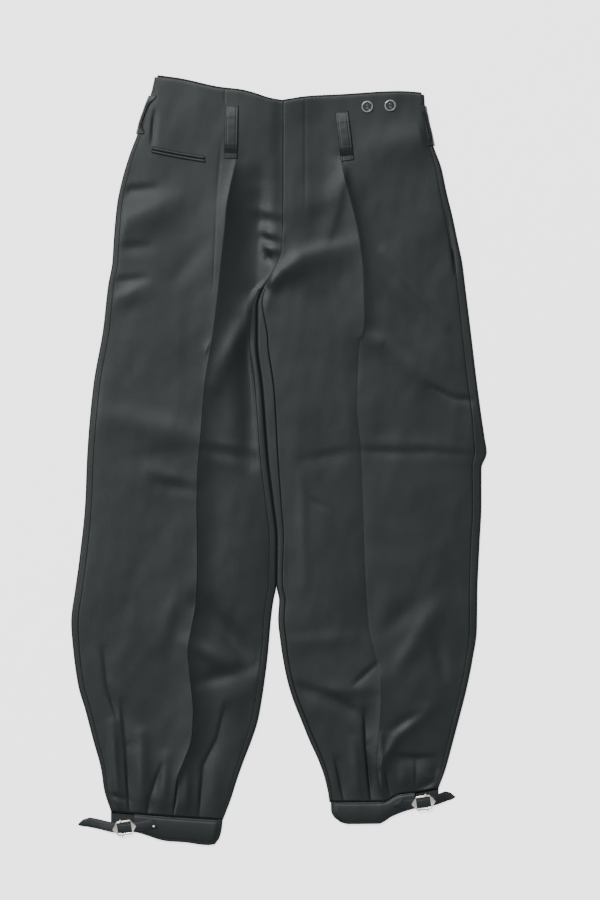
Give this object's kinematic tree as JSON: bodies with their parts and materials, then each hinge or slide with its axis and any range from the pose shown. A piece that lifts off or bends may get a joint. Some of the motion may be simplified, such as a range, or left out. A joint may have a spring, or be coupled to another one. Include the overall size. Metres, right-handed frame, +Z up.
{
  "type": "tobi work pants",
  "caption": "Full-cut work trousers laid flat: plain high waist, belt loops, pressed creases, pleated hems in strapped and buckled cuffs.",
  "frame": {"origin": "on the surface the garment lies on, at the middle of its outline", "axes": "+Y towards the waist, +Z up from the surface out of the front, +X towards the wearer's left leg"},
  "size_m": [0.5616, 1.0392, 0.0156],
  "materials": {
    "twill": "dark green-grey twill with a soft sheen",
    "strap": "near-black doubled twill",
    "button": "glossy dark grey, moulded",
    "buckle": "pale warm silver plating"
  },
  "bodies": {
    "root": {"front_right": "twill", "front_left": "twill", "back_right": "twill", "back_left": "twill", "loop_front_right": "twill", "loop_front_left": "twill", "loop_side_right": "twill", "loop_side_left": "twill", "pocket_welt_upper": "twill", "pocket_welt_lower": "twill", "button_inner": "button", "button_outer": "button", "cuff_right": "twill", "cuff_left": "twill", "strap_right": "strap", "strap_left": "strap", "buckle_tab_right": "strap", "buckle_tab_left": "strap", "buckle_frame_right": "buckle", "buckle_frame_left": "buckle", "buckle_bar_right": "buckle", "buckle_bar_left": "buckle"}
  },
  "joints": []
}
